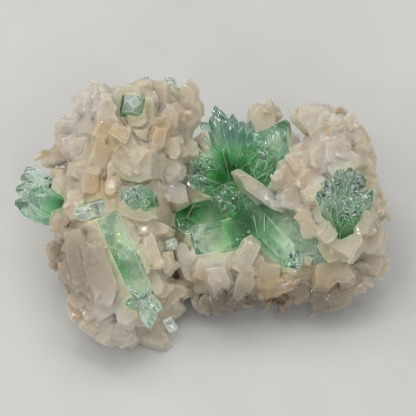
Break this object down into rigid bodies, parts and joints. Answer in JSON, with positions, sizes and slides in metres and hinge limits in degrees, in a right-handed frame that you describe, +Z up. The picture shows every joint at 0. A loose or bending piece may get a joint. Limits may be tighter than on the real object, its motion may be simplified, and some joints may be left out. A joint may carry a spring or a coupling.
{
  "type": "green apophyllite specimen",
  "caption": "Green apophyllite crystals in radiating sprays on a two-lobed matrix of cream stilbite blades, lying on its broken back with the display face leaning up.",
  "frame": {"origin": "middle of the bounding box at the level of the surface that the specimen lies on", "axes": "+X along the specimen's length, from the left lobe to the right lobe as seen from the display side; -Y towards the viewer; +Z up, away from the broken back"},
  "size_m": [0.1254, 0.0871, 0.0578],
  "materials": {
    "stilbite": "translucent cream to peach stilbite with a pearly, slightly waxy surface and tan recesses",
    "apophyllite_green": "transparent green apophyllite, glassy faces, deep green at the root and paler at the tip",
    "apophyllite_clear": "nearly colourless transparent apophyllite with glassy faces"
  },
  "bodies": {
    "root": {"stilbite_matrix": "stilbite", "apophyllite_centre_cluster": "apophyllite_green", "apophyllite_right_cluster": "apophyllite_green", "apophyllite_left_spray": "apophyllite_green", "apophyllite_long_blade": "apophyllite_green", "apophyllite_top_crystal": "apophyllite_green", "apophyllite_left_crystal": "apophyllite_clear", "apophyllite_mid_crystal": "apophyllite_green", "apophyllite_clear_peak": "apophyllite_clear", "apophyllite_clear_ridge": "apophyllite_clear", "apophyllite_clear_seam": "apophyllite_clear", "apophyllite_clear_foot": "apophyllite_clear"}
  },
  "joints": []
}
